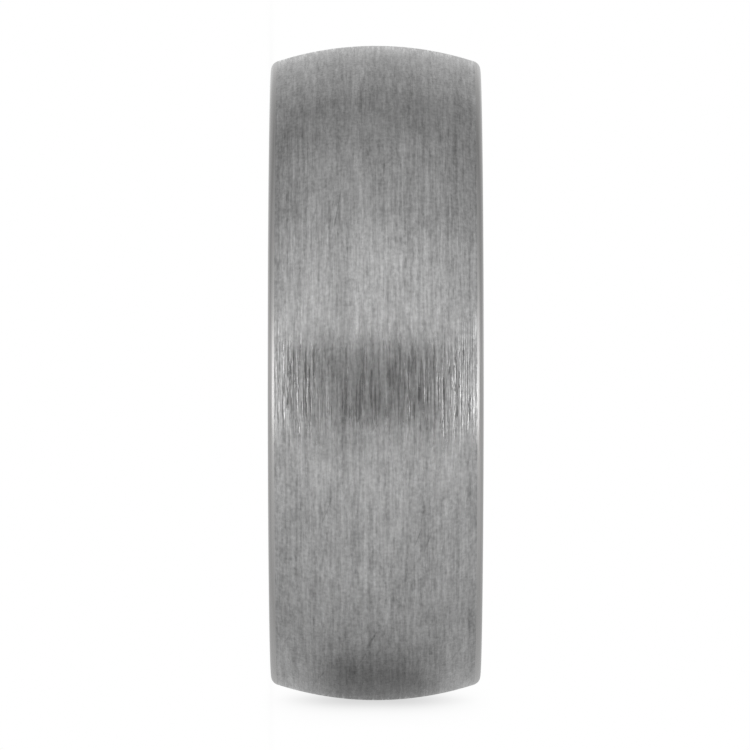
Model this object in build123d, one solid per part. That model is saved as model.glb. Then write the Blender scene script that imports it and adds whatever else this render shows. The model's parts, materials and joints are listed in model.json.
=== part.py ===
from build123d import *
import math
import os

# A plain wedding band with a domed outer face and a comfort-fit finger hole, turned from one bar
# of titanium. Millimetres, +Z up.
#
# The band lies flat on one flank, as it does on a table, so the finger passes along Z. The origin
# is the centre of the finger hole. It is one piece of metal, so it is one node, turned about Z
# from one cross-section. The section's own coordinates are r, the distance from the finger's
# axis, and z, along the band's width.

# Driving sizes.
finger_diameter = 18.14  # US ring size 8, at the narrowest part of the hole
band_width = 7.0  # from flank to flank
crown_wall = 1.90  # wall at the middle of the band, where it is thickest
dome_radius = 10.7  # of the arc that crowns the outer surface, seen in section
outer_edge_round = 0.30  # where the dome turns into a flank
land_width = 3.4  # the straight part of the finger hole, at its middle
flare_depth = 0.24  # how far the hole opens out from the land to its mouth
mouth_round = 0.25  # where the flare turns into a flank

# Sizes that follow from them.
half_width = band_width / 2
half_land = land_width / 2
land_radius = finger_diameter / 2
crown_radius = land_radius + crown_wall
dome_drop = dome_radius - math.sqrt(dome_radius**2 - half_width**2)
shoulder_radius = crown_radius - dome_drop
flare_run = half_width - half_land
flare_radius = (flare_run**2 + flare_depth**2) / (2 * flare_depth)
mouth_radius = land_radius + flare_depth


def flare(side):
    """The arc that opens the hole towards one mouth. It leaves the land without a corner."""
    sweep = math.asin(flare_run / flare_radius)
    points = []
    for part_way in (0, 0.5, 1):
        angle = sweep * part_way
        r = land_radius + flare_radius * (1 - math.cos(angle))
        z = half_land + flare_radius * math.sin(angle)
        points.append((r, side * z))
    return ThreePointArc(*points)


def section():
    """The metal's cross-section, on one side of the finger."""
    with BuildSketch(Plane.XZ) as sketch:
        with BuildLine():
            Line((land_radius, -half_land), (land_radius, half_land))
            for side in (1, -1):
                flare(side)
                Line((mouth_radius, side * half_width), (shoulder_radius, side * half_width))
            ThreePointArc(
                (shoulder_radius, -half_width), (crown_radius, 0), (shoulder_radius, half_width)
            )
        make_face()
        # From the finger's axis outwards the corners are the land's ends, the mouths and the shoulders.
        fillet(sketch.vertices().group_by(Axis.X)[1], mouth_round)
        fillet(sketch.vertices().group_by(Axis.X)[-1], outer_edge_round)
    return sketch.sketch


def band():
    """The whole band: the section turned once round the finger."""
    return revolve(section(), Axis.Z, 360)


def main():
    os.makedirs("parts", exist_ok=True)
    ring = band()
    ring.label = "band"
    export_step(ring, "parts/band.step")
    flank = ring.faces().filter_by(GeomType.PLANE).sort_by(Axis.Z)[-1]
    rims = sorted(edge.radius for edge in flank.edges())
    print(f"outside: {2 * crown_radius:.2f} mm across, {band_width:.2f} mm wide")
    print(f"flat of each flank: {rims[0]:.3f} to {rims[-1]:.3f} mm from the finger's axis")
    print(f"volume: {ring.volume:.1f} mm3")


main()
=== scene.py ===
"""Looks for a plain domed wedding band: its metal, its brushed and polished finishes, and a stage."""

import json
import math

import bmesh
import bpy
from bpy.props import FloatProperty, FloatVectorProperty, IntProperty, PointerProperty
from mathutils import Matrix, Vector


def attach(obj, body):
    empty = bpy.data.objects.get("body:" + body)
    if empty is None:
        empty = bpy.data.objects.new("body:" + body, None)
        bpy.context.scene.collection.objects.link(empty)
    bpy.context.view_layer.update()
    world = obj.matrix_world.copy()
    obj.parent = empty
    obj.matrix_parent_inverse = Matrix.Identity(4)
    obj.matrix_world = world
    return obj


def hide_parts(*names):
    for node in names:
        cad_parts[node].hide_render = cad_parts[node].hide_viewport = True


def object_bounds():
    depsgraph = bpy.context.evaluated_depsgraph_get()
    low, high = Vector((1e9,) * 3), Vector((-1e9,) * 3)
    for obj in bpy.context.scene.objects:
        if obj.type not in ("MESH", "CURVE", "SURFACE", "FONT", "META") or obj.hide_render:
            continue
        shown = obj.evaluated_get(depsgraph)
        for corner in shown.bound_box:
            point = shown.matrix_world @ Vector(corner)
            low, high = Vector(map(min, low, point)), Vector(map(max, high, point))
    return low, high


bl_info = {
    "name": "Wedding band looks",
    "version": (1, 0, 0),
    "blender": (4, 5, 0),
    "location": "View3D > Sidebar > Band",
    "description": "Makes the metal and the finishes of a domed wedding band, and a stage for it",
    "category": "Object",
}

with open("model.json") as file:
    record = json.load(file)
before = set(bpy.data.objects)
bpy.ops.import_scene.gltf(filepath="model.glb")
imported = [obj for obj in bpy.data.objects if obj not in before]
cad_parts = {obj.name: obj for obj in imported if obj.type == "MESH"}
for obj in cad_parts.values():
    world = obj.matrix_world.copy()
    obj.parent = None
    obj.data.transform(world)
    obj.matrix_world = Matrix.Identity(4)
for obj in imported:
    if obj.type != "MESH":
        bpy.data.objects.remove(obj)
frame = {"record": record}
CAD_BOX = [list(corner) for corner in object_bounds()]
BORE = next(m for m in frame["record"]["mounts"] if m["name"] == "finger_hole")

MM = 0.001
CROWN_RADIUS = max(CAD_BOX[1][0], CAD_BOX[1][1])
HALF_WIDTH = CAD_BOX[1][2]
LAND_RADIUS = BORE["dims"]["r_mm"] * MM
LAND_WIDTH = BORE["dims"]["length_mm"] * MM

# The main view shows the band stood up, so its picture is turned a quarter turn from the band's
# own frame: the finger's axis runs to the right, and -X is up.
RIGHT = Vector((0, 0, 1))
UP = Vector((-1, 0, 0))
TOWARDS_CAMERA = Vector((0, -1, 0))

# Brush and tool marks: how many lie side by side in a metre, and how often they break in a metre of
# their own length.
FADES = (2600.0, 700.0)
GROOVES = (9000.0, 300.0)
HAIRS = (13000.0, 2200.0)
STRAYS = (6500.0, 380.0)
SWEEPS = (1500.0, 130.0)
STRIPS = (13500.0, 700.0)
POLISHING_LINES = (22000.0, 250.0)
FINE_TURNING = (26000.0, 120.0)
COARSE_TURNING = (9000.0, 60.0)

# Patches in a metre.
GRAIN = 9000.0
HAZE = 900.0
WEAR = 1200.0

# The stray scratches lie straight across this direction, at a slant to the brushing.
STRAY_SLANT = (0.3, 0.22, 1)

# How much the brushed metal and the polished metal draw highlights out across their marks.
BRUSHED_STRETCH = 0.6
POLISHED_STRETCH = 0.3

# Roughness of the edges, of the hole, and of a flank where it is least and most worn.
EDGE_ROUGHNESS = 0.26
HOLE_ROUGHNESS = 0.12
FLANK_ROUGHNESS = (0.2, 0.32)

# How much lighter and darker than the metal's colour the polishing lines are.
POLISHED_CONTRAST = 0.05

# A noise fades out where its coordinates are whole numbers, as they all are at the origin, so the
# marks take theirs from beside it.
OFF_GRID = (0.37, 0.61, 0.43)

# Steps of the section's arcs and straight runs.
DOME_STEPS = 36
ROUND_STEPS = 8
FLARE_STEPS = 12
STRAIGHT_STEPS = 4

# Vertices closer than this, in metres, become one: on the mirror's seam, and anywhere.
SEAM_GAP = 1e-7
SAME_PLACE = 1e-8

# A face is part of a flank, or of the dome, from this share of the flank's height, or of the radius
# at which the dome ends. Just under 1 allows for rounding, and for flat faces on a round band.
FLANK_FROM = 0.99999
DOME_FROM = 0.9999

# The band's material slots, in order.
BRUSHED, EDGE, FLANK, HOLE = range(4)

# Light in the tent at angles round the finger's axis, seen from the band. 0 is towards the camera
# of the main view, 90 is up in its picture, and 180 is away from it.
TENT = (
    (-180, 0.70),
    (-60, 0.58),
    (-24, 0.60),
    (0, 0.62),
    (16, 0.88),
    (30, 0.80),
    (44, 0.80),
    (56, 0.59),
    (68, 0.55),
    (80, 0.54),
    (92, 0.435),
    (112, 0.365),
    (122, 0.46),
    (136, 0.555),
    (150, 0.59),
    (165, 0.73),
    (180, 0.84),
)

# The tent dims towards its two sides, between these angles and to these shares of its light.
LEFT_DIMMING = (-30.0, -12.0, 0.88, 1.0)
RIGHT_DIMMING = (12.0, 30.0, 1.0, 0.83)

# A dark slot where the camera looks in. It sits a little to the left, ends softly between each pair
# of angles, and takes away this share of the light.
SLOT_MIDDLE = -1.0
SLOT_FOOT = (-19.0, -15.5)
SLOT_HEAD = (9.5, 13.5)
SLOT_SIDE = (36.0, 40.0)
SLOT_DARKNESS = 0.575

# A lamp on each side of the slot, with the same kind of soft ends.
LAMP_INNER = (36.0, 40.0)
LAMP_OUTER = (54.0, 70.0)
LAMP_FOOT = (-34.0, -22.0)
LAMP_HEAD = (-12.0, 38.0)
LAMP_LIGHT = 1.55

# Painted light: the glow of the paper that the band stands on in the main view, which the metal
# mirrors, dimmed near the crown as painted shade. Each row gives two distances from the place where
# the crown touches, towards the camera or away from it, and the share of the light on the near side
# of the first and on the far side of the second.
PAINTED_PAPER_LIGHT = (
    (5 * MM, 10.5 * MM, 0.59, 0.79),
    (12 * MM, 20 * MM, 1.0, 1.22),
    (23 * MM, 28 * MM, 1.0, 0.86),
)

# Close to that place the painted light also changes, from the middle of the width to each side:
# darkest in the middle, a painted shade where the crown touches, and a little lighter at each side.
CLOSE_AHEAD = (3.2 * MM, 6.4 * MM, 1.0, 0.0)
CLOSE_BESIDE = (0.8 * MM, 3.4 * MM, -0.58, 0.14)

# At a slant a Fresnel term, as for paper that is a little glossy, brings the paper's painted light
# near SLANTING_LIGHT and fades its painted shadow.
PAPER_IOR = 1.5
SLANTING_LIGHT = 0.8

# How fast the paper's painted shadow fades, from how far away something still darkens it, and how many
# rays look for that.
SHADE_FALLOFF = 1.35
SHADE_REACH = 16 * MM
SHADE_SAMPLES = 32

# Sides of the round sheets.
DISC_SIDES = 96

# The camera's sensor, in millimetres, and the nearest thing it can see.
SENSOR_WIDTH = 36
CLIP_START = 10 * MM


class BandSizes(bpy.types.PropertyGroup):
    """Sizes of the band's section. Its width, its outside and its hole come from the frame."""

    dome_radius: FloatProperty(
        name="Dome radius",
        description="Radius of the arc that crowns the outer face, seen in section",
        default=10.7 * MM,
        unit="LENGTH",
        precision=5,
    )
    outer_round: FloatProperty(
        name="Outer edge round",
        description="Radius where the dome turns into a flank",
        default=0.30 * MM,
        unit="LENGTH",
        precision=5,
    )
    flare_depth: FloatProperty(
        name="Flare depth",
        description="How far the finger hole opens out from its straight land to its mouth",
        default=0.24 * MM,
        unit="LENGTH",
        precision=5,
    )
    mouth_round: FloatProperty(
        name="Mouth round",
        description="Radius where the flare turns into a flank",
        default=0.25 * MM,
        unit="LENGTH",
        precision=5,
    )
    turns: IntProperty(
        name="Steps round the finger",
        description="How many faces go once round the band",
        default=384,
        min=24,
    )


class BandFinish(bpy.types.PropertyGroup):
    """Colours and textures of the metal."""

    titanium: FloatVectorProperty(
        name="Titanium",
        description="Colour of the brushed metal",
        subtype="COLOR",
        default=(0.50, 0.50, 0.50),
        min=0,
        max=1,
    )
    polished: FloatVectorProperty(
        name="Polished titanium",
        description="Colour of the metal in the finger hole and on the rounded edges",
        subtype="COLOR",
        default=(0.56, 0.555, 0.55),
        min=0,
        max=1,
    )
    groove_depth: FloatProperty(
        name="Groove depth",
        description="How deep the brush marks on the outer face are",
        default=0.0092 * MM,
        unit="LENGTH",
        precision=7,
    )
    smooth_strips: FloatProperty(
        name="Smooth strips",
        description="Roughness of the smoothest strips of the outer face",
        default=0.06,
        min=0,
        max=1,
    )
    rough_strips: FloatProperty(
        name="Rough strips",
        description="Roughness of the roughest strips of the outer face",
        default=0.33,
        min=0,
        max=1,
    )
    contrast: FloatProperty(
        name="Brush contrast",
        description="How much lighter and darker than the metal's colour the brush marks are",
        default=0.32,
        min=0,
        max=1,
    )


class BandStage(bpy.types.PropertyGroup):
    """Camera and stage."""

    camera_distance: FloatProperty(
        name="Camera distance",
        description="From the camera to the band's middle",
        default=300 * MM,
        unit="LENGTH",
    )
    lens: FloatProperty(
        name="Lens",
        description="Focal length, in millimetres, on a 36 mm sensor",
        default=429.3,
    )
    aim_drop: FloatProperty(
        name="Aim drop",
        description="How far below the band's middle the camera aims",
        default=0.067 * MM,
        unit="LENGTH",
        precision=5,
    )
    aim_side: FloatProperty(
        name="Aim to the side",
        description="How far to the left of the band's middle the camera aims",
        default=0.024 * MM,
        unit="LENGTH",
        precision=5,
    )
    ground_radius: FloatProperty(
        name="Ground radius",
        description="Radius of the pale surfaces under and beside the band",
        default=34 * MM,
        unit="LENGTH",
    )


# --- Node helpers ---------------------------------------------------------------------------------


def add(tree, kind, links=None, **settings):
    """Adds a node, sets its properties, and links or sets the inputs that links names."""
    node = tree.nodes.new(kind)
    for name, value in settings.items():
        setattr(node, name, value)
    for key, source in (links or {}).items():
        if isinstance(source, bpy.types.NodeSocket):
            tree.links.new(source, node.inputs[key])
        else:
            node.inputs[key].default_value = source
    return node


def calc(tree, operation, a, b=0.0, c=0.0):
    """One step of arithmetic on values."""
    return add(tree, "ShaderNodeMath", {0: a, 1: b, 2: c}, operation=operation).outputs[0]


def ease(tree, value, start, end, low=0.0, high=1.0):
    """Goes smoothly from low to high as the value goes from start to end."""
    links = {0: value, 1: start, 2: end, 3: low, 4: high}
    return add(tree, "ShaderNodeMapRange", links, interpolation_type="SMOOTHSTEP").outputs[0]


def between(tree, value, rise, fall):
    """Is 1 between two soft ends and 0 outside them."""
    return calc(tree, "MULTIPLY", ease(tree, value, *rise), ease(tree, value, *fall, 1.0, 0.0))


def object_place(tree):
    """Where a point of the surface lies, in the band's own frame."""
    return add(tree, "ShaderNodeTexCoord").outputs["Object"]


def away_from_axis(tree):
    """The same place, with nothing left along the finger's axis."""
    links = {0: object_place(tree), 1: (1, 1, 0)}
    return add(tree, "ShaderNodeVectorMath", links, operation="MULTIPLY").outputs[0]


def new_group(name, inputs):
    """A shader node group that puts out one value, and its own input and output nodes."""
    group = bpy.data.node_groups.new(name, "ShaderNodeTree")
    for socket, default in inputs:
        item = group.interface.new_socket(socket, in_out="INPUT", socket_type="NodeSocketFloat")
        item.default_value = default
    group.interface.new_socket("Value", in_out="OUTPUT", socket_type="NodeSocketFloat")
    return group, group.nodes.new("NodeGroupInput"), group.nodes.new("NodeGroupOutput")


def put_out(group, made, noise):
    """Puts a noise out of a group, stretched so that it goes from about 0 to about 1."""
    links = {0: noise.outputs[0], 1: 0.3, 2: 0.7}
    stretched = add(group, "ShaderNodeMapRange", links, clamp=False)
    group.links.new(stretched.outputs[0], made.inputs["Value"])


def use_group(tree, group, links):
    """Places a group in a node tree and returns its value."""
    return add(tree, "ShaderNodeGroup", links, node_tree=group).outputs[0]


# --- Finishes -------------------------------------------------------------------------------------


def tool_lines():
    """Lines that a tool or a brush leaves round the band, long round it and fine across it. The
    value goes from about 0 in a trough to about 1 on a ridge."""
    inputs = [("Across", 0.0), ("Lines per metre", 20000.0), ("Breaks per metre", 500.0)]
    group, given, made = new_group("tool_lines", inputs)
    across, per_metre, breaks = given.outputs[:3]
    links = {0: away_from_axis(group), "Scale": breaks}
    along = add(group, "ShaderNodeVectorMath", links, operation="SCALE").outputs[0]
    along = add(group, "ShaderNodeVectorMath", {0: along, 1: OFF_GRID}, operation="ADD").outputs[0]
    count = calc(group, "MULTIPLY_ADD", across, per_metre, OFF_GRID[0])
    links = {"Vector": along, "W": count, "Scale": 1.0, "Detail": 2.0, "Roughness": 0.6}
    put_out(group, made, add(group, "ShaderNodeTexNoise", links, noise_dimensions="4D"))
    return group


def clouds():
    """Soft uneven patches that handling and uneven brushing leave. The value goes from about 0 to
    about 1."""
    group, given, made = new_group("clouds", [("Patches per metre", 400.0)])
    per_metre = given.outputs[0]
    links = {"Vector": object_place(group), "Scale": per_metre, "Detail": 3.0, "Roughness": 0.55}
    put_out(group, made, add(group, "ShaderNodeTexNoise", links))
    return group


def metal(name, anisotropic):
    """A bare metal shader. Its marks run round the finger, so its highlights spread across them."""
    material = bpy.data.materials.new(name)
    material.use_nodes = True
    tree = material.node_tree
    shader = tree.nodes["Principled BSDF"]
    shader.inputs["Metallic"].default_value = 1.0
    shader.inputs["Anisotropic"].default_value = anisotropic
    shader.inputs["Anisotropic Rotation"].default_value = 0.25
    tangent = add(tree, "ShaderNodeTangent", direction_type="RADIAL", axis="Z")
    tree.links.new(tangent.outputs[0], shader.inputs["Tangent"])
    return material, tree, shader


def across_width(tree):
    """How far along the finger's axis a point of the surface lies."""
    return add(tree, "ShaderNodeSeparateXYZ", {0: object_place(tree)}).outputs["Z"]


def across_wall(tree):
    """How far from the finger's axis a point of the surface lies."""
    links = {0: away_from_axis(tree)}
    return add(tree, "ShaderNodeVectorMath", links, operation="LENGTH").outputs["Value"]


def marks_at(tree, lines, position, marks):
    """Tool marks of one size, given as lines and breaks in a metre."""
    per_metre, breaks = marks
    links = {"Across": position, "Lines per metre": per_metre, "Breaks per metre": breaks}
    return use_group(tree, lines, links)


def patches_of(tree, patches, per_metre):
    """Uneven patches of one size."""
    return use_group(tree, patches, {"Patches per metre": per_metre})


def tint(tree, shader, colour, contrast, amount):
    """Colours the metal from a darker to a lighter shade of its colour, by an amount."""
    dark = [c * (1 - contrast) for c in colour]
    light = [c * (1 + contrast) for c in colour]
    links = {0: amount, 6: (*dark, 1), 7: (*light, 1)}
    mix = add(tree, "ShaderNodeMix", links, data_type="RGBA", clamp_factor=False)
    tree.links.new(mix.outputs[2], shader.inputs["Base Color"])


def engrave(tree, shader, height, depth):
    """Gives the metal marks of a height and a depth."""
    bump = add(tree, "ShaderNodeBump", {"Height": height, "Distance": depth})
    tree.links.new(bump.outputs[0], shader.inputs["Normal"])


def roughen(tree, shader, amount, smoothest, roughest):
    """Makes the metal rougher as an amount goes from 0 to 1."""
    rough = add(tree, "ShaderNodeMapRange", {0: amount, 3: smoothest, 4: roughest})
    tree.links.new(rough.outputs[0], shader.inputs["Roughness"])


def brushed_face(finish, lines, patches):
    """The outer face, brushed round the band: long straight grooves that fade in and out, short
    hairs between them, a fine grain, and a few stray scratches that cross the rest at a slant. The
    brush leaves some strips smoother than others, and those mirror more sharply."""
    material, tree, shader = metal("brushed_face", BRUSHED_STRETCH)
    across = across_width(tree)
    links = {0: object_place(tree), 1: STRAY_SLANT}
    slant = add(tree, "ShaderNodeVectorMath", links, operation="DOT_PRODUCT").outputs["Value"]

    def either_way(value):
        return calc(tree, "SUBTRACT", value, 0.5)

    fades = ease(tree, marks_at(tree, lines, across, FADES), 0.15, 0.85, 0.7, 1.15)
    grooves = either_way(marks_at(tree, lines, across, GROOVES))
    grooves = calc(tree, "MULTIPLY", grooves, fades)
    hairs = either_way(marks_at(tree, lines, across, HAIRS))
    strays = ease(tree, marks_at(tree, lines, slant, STRAYS), 0.93, 1.1)
    sweeps = either_way(marks_at(tree, lines, across, SWEEPS))
    grain = either_way(patches_of(tree, patches, GRAIN))
    haze = either_way(patches_of(tree, patches, HAZE))

    height = calc(tree, "MULTIPLY_ADD", hairs, 0.5, grooves)
    engrave(tree, shader, height, finish.groove_depth)

    # The tone rises with the grooves and hairs as their height does, so they are darker in their
    # troughs: painted shade in the grooves. Grain, haze and sweeps are the metal's own uneven tone, and
    # the stray scratches are darker.
    tone = 0.5
    shares = ((grooves, 0.55), (hairs, 0.6), (grain, 0.5), (haze, 0.24), (sweeps, 0.2), (strays, -0.45))
    for marks, share in shares:
        tone = calc(tree, "MULTIPLY_ADD", marks, share, tone)
    tint(tree, shader, finish.titanium, finish.contrast, tone)

    strips = calc(tree, "MULTIPLY_ADD", haze, 0.12, marks_at(tree, lines, across, STRIPS))
    rough = ease(tree, strips, 0.02, 0.6, finish.smooth_strips, finish.rough_strips)
    tree.links.new(rough, shader.inputs["Roughness"])
    return material


def polished_metal(name, finish, lines, roughness):
    """Polished metal with the faint lines of the polishing wheel."""
    material, tree, shader = metal(name, POLISHED_STRETCH)
    marks = marks_at(tree, lines, across_width(tree), POLISHING_LINES)
    roughen(tree, shader, marks, roughness * 0.7, roughness * 1.3)
    tint(tree, shader, finish.polished, POLISHED_CONTRAST, marks)
    return material


def turned_flank(finish, lines, patches):
    """A flank, faced on the lathe and softened with a fine abrasive, with a little wear."""
    material, tree, shader = metal("turned_flank", BRUSHED_STRETCH)
    fine = marks_at(tree, lines, across_wall(tree), FINE_TURNING)
    coarse = marks_at(tree, lines, across_wall(tree), COARSE_TURNING)
    worn = patches_of(tree, patches, WEAR)
    engrave(tree, shader, calc(tree, "MULTIPLY_ADD", coarse, 0.8, fine), finish.groove_depth)
    tone = calc(tree, "MULTIPLY_ADD", fine, 0.35, calc(tree, "MULTIPLY", coarse, 0.35))
    tone = calc(tree, "MULTIPLY_ADD", worn, 0.3, tone)
    tint(tree, shader, finish.titanium, finish.contrast / 2, tone)
    roughen(tree, shader, worn, *FLANK_ROUGHNESS)
    return material


# --- The band's metal -----------------------------------------------------------------------------


def arc(bm, vert, centre, sweep, steps):
    """Draws an arc in the section from a vertex, turning about the centre, and returns its end."""
    drawn = bmesh.ops.spin(
        bm,
        geom=[vert],
        cent=centre,
        axis=(0, -1, 0),
        angle=sweep,
        steps=steps,
        use_duplicate=False,
    )
    return next(item for item in drawn["geom_last"] if isinstance(item, bmesh.types.BMVert))


def straight(bm, vert, end, steps):
    """Draws a straight run in the section from a vertex to a point, and returns its end."""
    step = (Vector(end) - vert.co) / steps
    for _ in range(steps):
        grown = bmesh.ops.extrude_vert_indiv(bm, verts=[vert])["verts"]
        bmesh.ops.translate(bm, verts=grown, vec=step)
        vert = grown[0]
    return vert


def half_section(bm, sizes):
    """Draws one half of the band's section in XZ, from the crown round to the middle of the hole.
    Returns the points where the dome ends and where the hole ends."""
    dome_centre = CROWN_RADIUS - sizes.dome_radius
    round_height = HALF_WIDTH - sizes.outer_round
    dome_sweep = math.asin(round_height / (sizes.dome_radius - sizes.outer_round))
    round_radius = dome_centre + (sizes.dome_radius - sizes.outer_round) * math.cos(dome_sweep)

    flare_run = HALF_WIDTH - LAND_WIDTH / 2
    flare_radius = (flare_run**2 + sizes.flare_depth**2) / (2 * sizes.flare_depth)
    mouth_height = HALF_WIDTH - sizes.mouth_round
    flare_sweep = math.asin((mouth_height - LAND_WIDTH / 2) / (flare_radius - sizes.mouth_round))
    flare_centre = LAND_RADIUS + flare_radius
    mouth_radius = flare_centre - (flare_radius - sizes.mouth_round) * math.cos(flare_sweep)

    vert = bm.verts.new((CROWN_RADIUS, 0, 0))
    vert = arc(bm, vert, (dome_centre, 0, 0), dome_sweep, DOME_STEPS)
    dome_end = vert.co.copy()
    vert = arc(bm, vert, (round_radius, 0, round_height), math.pi / 2 - dome_sweep, ROUND_STEPS)
    vert = straight(bm, vert, (mouth_radius, 0, HALF_WIDTH), STRAIGHT_STEPS)
    vert = arc(bm, vert, (mouth_radius, 0, mouth_height), math.pi / 2 - flare_sweep, ROUND_STEPS)
    hole_end = vert.co.copy()
    vert = arc(bm, vert, (flare_centre, 0, LAND_WIDTH / 2), flare_sweep, FLARE_STEPS)
    straight(bm, vert, (LAND_RADIUS, 0, 0), STRAIGHT_STEPS)
    return dome_end, hole_end


def band_mesh(sizes):
    """The band's mesh, turned from its section, with a material slot for each finish."""
    bm = bmesh.new()
    dome_end, hole_end = half_section(bm, sizes)
    bmesh.ops.mirror(bm, geom=bm.verts[:] + bm.edges[:], axis="Z", merge_dist=SEAM_GAP)
    bmesh.ops.remove_doubles(bm, verts=bm.verts[:], dist=SAME_PLACE)
    bmesh.ops.spin(
        bm,
        geom=bm.verts[:] + bm.edges[:],
        cent=(0, 0, 0),
        axis=(0, 0, 1),
        angle=math.tau,
        steps=sizes.turns,
        use_merge=True,
        use_duplicate=False,
    )
    bmesh.ops.remove_doubles(bm, verts=bm.verts[:], dist=SAME_PLACE)
    bmesh.ops.recalc_face_normals(bm, faces=bm.faces[:])
    for face in bm.faces:
        face.smooth = True
        centre = face.calc_center_median()
        radius, height = Vector(centre.xy).length, abs(centre.z)
        if height > HALF_WIDTH * FLANK_FROM:
            face.material_index = FLANK
        elif height < dome_end.z and radius > dome_end.x * DOME_FROM:
            face.material_index = BRUSHED
        elif height < hole_end.z and radius < hole_end.x:
            face.material_index = HOLE
        else:
            face.material_index = EDGE
    mesh = bpy.data.meshes.new("band_metal")
    bm.to_mesh(mesh)
    bm.free()
    return mesh


class BAND_OT_metal(bpy.types.Operator):
    """Makes the band's metal in place of the plain CAD node, with its finishes"""

    bl_idname = "band.metal"
    bl_label = "Band metal"

    def execute(self, context):
        sizes, finish = context.scene.band_sizes, context.scene.band_finish
        mesh = band_mesh(sizes)
        lines, patches = tool_lines(), clouds()
        mesh.materials.append(brushed_face(finish, lines, patches))
        mesh.materials.append(polished_metal("softened_edge", finish, lines, EDGE_ROUGHNESS))
        mesh.materials.append(turned_flank(finish, lines, patches))
        mesh.materials.append(polished_metal("polished_hole", finish, lines, HOLE_ROUGHNESS))
        piece = bpy.data.objects.new("band_metal", mesh)
        context.scene.collection.objects.link(piece)
        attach(piece, "root")
        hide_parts("band")
        return {"FINISHED"}


# --- Stage ----------------------------------------------------------------------------------------


def picture_angles(tree):
    """A direction's angle round the finger's axis, as TENT counts it, and its angle to the right in
    the main view's picture, both in degrees."""
    direction = add(tree, "ShaderNodeTexCoord").outputs["Generated"]

    def part(axis):
        links = {0: direction, 1: axis}
        return add(tree, "ShaderNodeVectorMath", links, operation="DOT_PRODUCT").outputs["Value"]

    height = calc(tree, "ARCTAN2", part(UP), part(TOWARDS_CAMERA))
    side = calc(tree, "ARCSINE", part(RIGHT))
    return calc(tree, "DEGREES", height), calc(tree, "DEGREES", side)


def light_tent(world):
    """Light from a white tent round the band, with a dark slot for the main view's camera and a
    lamp on each side of it. The camera sees plain white."""
    world.use_nodes = True
    tree = world.node_tree
    tree.nodes.clear()
    height, side = picture_angles(tree)
    turn = calc(tree, "MULTIPLY_ADD", height, 1 / 360, 0.5)
    ramp = add(tree, "ShaderNodeValToRGB", {"Fac": turn})
    stops = ramp.color_ramp.elements
    stops[0].position, stops[1].position = 0, 1
    for angle, _ in TENT[1:-1]:
        stops.new((angle + 180) / 360)
    for stop, (_, light) in zip(stops, TENT):
        stop.color = (light, light, light, 1)
    light = calc(tree, "MULTIPLY", ramp.outputs[0], ease(tree, side, *RIGHT_DIMMING))
    light = calc(tree, "MULTIPLY", light, ease(tree, side, *LEFT_DIMMING))

    off_slot = calc(tree, "ABSOLUTE", calc(tree, "SUBTRACT", side, SLOT_MIDDLE))
    beside = between(tree, off_slot, LAMP_INNER, LAMP_OUTER)
    lamps = calc(tree, "MULTIPLY", beside, between(tree, height, LAMP_FOOT, LAMP_HEAD))
    light = calc(tree, "MULTIPLY_ADD", lamps, LAMP_LIGHT, light)

    level = between(tree, height, SLOT_FOOT, SLOT_HEAD)
    slot = calc(tree, "MULTIPLY", ease(tree, off_slot, *SLOT_SIDE, 1.0, 0.0), level)
    light = calc(tree, "MULTIPLY", light, calc(tree, "MULTIPLY_ADD", slot, -SLOT_DARKNESS, 1.0))

    seen = add(tree, "ShaderNodeLightPath").outputs["Is Camera Ray"]
    shown = add(tree, "ShaderNodeMix", {0: seen, 2: light, 3: 1.0}).outputs[0]
    background = add(tree, "ShaderNodeBackground", {"Color": (1, 1, 1, 1), "Strength": shown})
    output = tree.nodes.new("ShaderNodeOutputWorld")
    tree.links.new(background.outputs[0], output.inputs["Surface"])


def painted_paper_light(tree):
    """Painted light: how brightly the paper that the band stands on in the main view glows for the
    metal to mirror, though it is no lamp. The glow is dimmer close to the band and dimmest where the
    crown touches, as painted shade, and brighter at a slant by a Fresnel term."""
    axes = add(tree, "ShaderNodeSeparateXYZ", {0: object_place(tree)})
    ahead = calc(tree, "ABSOLUTE", axes.outputs["Y"])
    beside = calc(tree, "ABSOLUTE", axes.outputs["Z"])
    light = 1.0
    for step in PAINTED_PAPER_LIGHT:
        light = calc(tree, "MULTIPLY", light, ease(tree, ahead, *step))
    close, shaded = ease(tree, ahead, *CLOSE_AHEAD), ease(tree, beside, *CLOSE_BESIDE)
    light = calc(tree, "MULTIPLY", light, calc(tree, "MULTIPLY_ADD", close, shaded, 1.0))
    slanting = add(tree, "ShaderNodeFresnel", {"IOR": PAPER_IOR}).outputs[0]
    return calc(tree, "MULTIPLY_ADD", calc(tree, "SUBTRACT", SLANTING_LIGHT, light), slanting, light)


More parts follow.
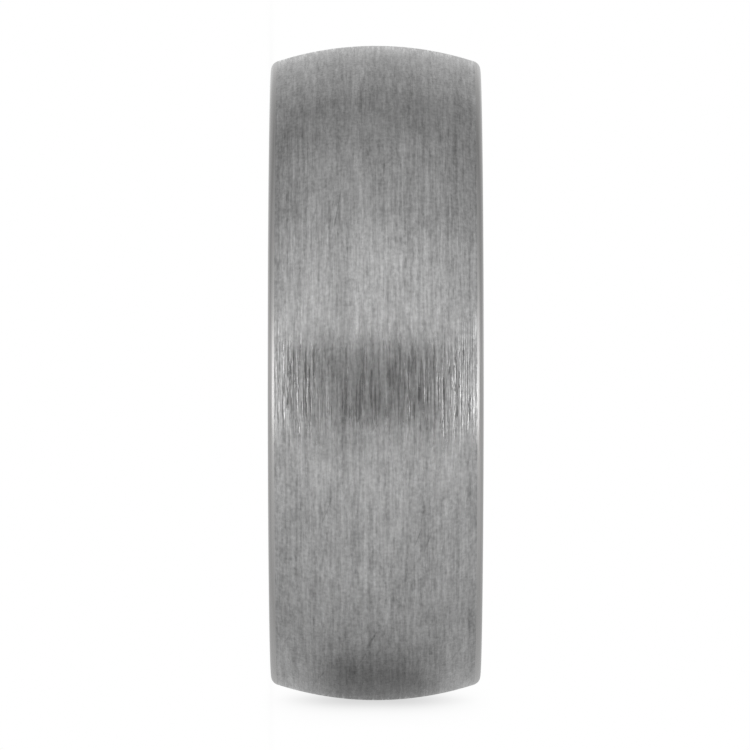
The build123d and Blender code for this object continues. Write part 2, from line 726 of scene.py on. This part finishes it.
def pale_surface(name, depth, slant_fade=False, glow=0.0, spread=None):
    """White paper with a painted shadow, which darkens it softly near what touches it, by a depth. It
    can't be seen from behind. What lies behind it is white too, so it only has to darken that. With
    slant_fade a Fresnel term fades the painted shadow at a slant, and a spread keeps the painted
    shadow that near to the middle of the width. Its glow is painted light that the metal mirrors:
    the paper glows, though it is no lamp."""
    material = bpy.data.materials.new(name)
    material.use_nodes = True
    tree = material.node_tree
    tree.nodes.clear()
    # Painted shadow: an ambient occlusion test darkens the paper's see-through colour near the band.
    near = add(tree, "ShaderNodeAmbientOcclusion", {"Distance": SHADE_REACH}, samples=SHADE_SAMPLES)
    dark = calc(tree, "SUBTRACT", 1.0, near.outputs["AO"])
    shade = calc(tree, "MULTIPLY", calc(tree, "POWER", dark, SHADE_FALLOFF), depth)
    # The painted shadow fades at a slant by a Fresnel term, so that seen edge-on it leaves no line.
    if slant_fade:
        gloss = add(tree, "ShaderNodeFresnel", {"IOR": PAPER_IOR}).outputs[0]
        shade = calc(tree, "MULTIPLY", shade, calc(tree, "SUBTRACT", 1.0, gloss))
    if spread:
        off_middle = calc(tree, "ABSOLUTE", across_width(tree))
        shade = calc(tree, "MULTIPLY", shade, ease(tree, off_middle, spread / 6, spread, 1.0, 0.0))
    left = calc(tree, "SUBTRACT", 1.0, shade)
    white = add(tree, "ShaderNodeCombineColor", {0: left, 1: left, 2: left})
    paper = add(tree, "ShaderNodeBsdfTransparent", {"Color": white.outputs[0]}).outputs[0]
    # Painted light: to all rays but the camera's the paper glows, with painted shade near the crown,
    # for the metal to mirror.
    painted_light = calc(tree, "MULTIPLY", painted_paper_light(tree), glow)
    painted_glow = add(tree, "ShaderNodeEmission", {"Color": (1, 1, 1, 1), "Strength": painted_light}).outputs[0]
    seen = add(tree, "ShaderNodeLightPath").outputs["Is Camera Ray"]
    front = add(tree, "ShaderNodeMixShader", {0: seen, 1: painted_glow, 2: paper}).outputs[0]
    clear = tree.nodes.new("ShaderNodeBsdfTransparent").outputs[0]
    behind = add(tree, "ShaderNodeNewGeometry").outputs["Backfacing"]
    both = add(tree, "ShaderNodeMixShader", {0: behind, 1: front, 2: clear}).outputs[0]
    output = tree.nodes.new("ShaderNodeOutputMaterial")
    tree.links.new(both, output.inputs["Surface"])
    return material


def pale_disc(name, centre, facing, radius, material):
    """A round sheet of the stage, facing one way."""
    bm = bmesh.new()
    turn = facing.to_track_quat("Z", "Y").to_matrix().to_4x4()
    place = Matrix.Translation(centre) @ turn
    bmesh.ops.create_circle(bm, cap_ends=True, segments=DISC_SIDES, radius=radius, matrix=place)
    mesh = bpy.data.meshes.new(name)
    bm.to_mesh(mesh)
    bm.free()
    mesh.materials.append(material)
    disc = bpy.data.objects.new(name, mesh)
    bpy.context.scene.collection.objects.link(disc)
    disc.visible_shadow = False
    return disc


def main_camera(stage):
    """The camera of the main view, which looks level at the band's outer face."""
    camera = bpy.data.objects.new("camera", bpy.data.cameras.new("camera"))
    bpy.context.scene.collection.objects.link(camera)
    camera.data.lens = stage.lens
    camera.data.sensor_width = SENSOR_WIDTH
    camera.data.clip_start = CLIP_START
    turn = Matrix((RIGHT, UP, TOWARDS_CAMERA)).transposed().to_4x4()
    aim = -UP * stage.aim_drop - RIGHT * stage.aim_side
    place = TOWARDS_CAMERA * stage.camera_distance + aim
    camera.matrix_world = Matrix.Translation(place) @ turn
    bpy.context.scene.camera = camera


class BAND_OT_stage(bpy.types.Operator):
    """Makes the pale surfaces, the light tent and the camera"""

    bl_idname = "band.stage"
    bl_label = "Stage"

    def execute(self, context):
        stage = context.scene.band_stage
        # Both papers carry a painted shadow. The standing one also glows with painted light that the
        # metal mirrors.
        floor = pale_disc(
            "floor",
            Vector((0, 0, -HALF_WIDTH)),
            Vector((0, 0, 1)),
            stage.ground_radius,
            pale_surface("floor_paper", 0.8, slant_fade=True),
        )
        floor.visible_glossy = False
        floor.visible_diffuse = False
        pale_disc(
            "standing_surface",
            -UP * CROWN_RADIUS,
            UP,
            stage.ground_radius,
            pale_surface("standing_paper", 0.31, glow=0.74, spread=4.2 * MM),
        )
        world = bpy.data.worlds.new("light_tent")
        context.scene.world = world
        light_tent(world)
        context.scene.view_settings.view_transform = "Standard"
        main_camera(stage)
        return {"FINISHED"}


class BAND_PT_panel(bpy.types.Panel):
    """Lists the band's sizes, finishes and stage settings, with buttons that make its metal and its
    stage
    """

    bl_idname = "BAND_PT_panel"
    bl_label = "Wedding band"
    bl_space_type = "VIEW_3D"
    bl_region_type = "UI"
    bl_category = "Band"

    def draw(self, context):
        scene = context.scene
        for settings in (scene.band_sizes, scene.band_finish, scene.band_stage):
            box = self.layout.box()
            for name in settings.__annotations__:
                box.prop(settings, name)
        self.layout.operator(BAND_OT_metal.bl_idname)
        self.layout.operator(BAND_OT_stage.bl_idname)


CLASSES = (BandSizes, BandFinish, BandStage, BAND_OT_metal, BAND_OT_stage, BAND_PT_panel)


def register():
    for cls in CLASSES:
        bpy.utils.register_class(cls)
    bpy.types.Scene.band_sizes = PointerProperty(type=BandSizes)
    bpy.types.Scene.band_finish = PointerProperty(type=BandFinish)
    bpy.types.Scene.band_stage = PointerProperty(type=BandStage)


def unregister():
    for name in ("band_stage", "band_finish", "band_sizes"):
        delattr(bpy.types.Scene, name)
    for cls in reversed(CLASSES):
        bpy.utils.unregister_class(cls)


def main():
    register()
    bpy.ops.band.metal()
    bpy.ops.band.stage()


if __name__ == "__main__":
    main()
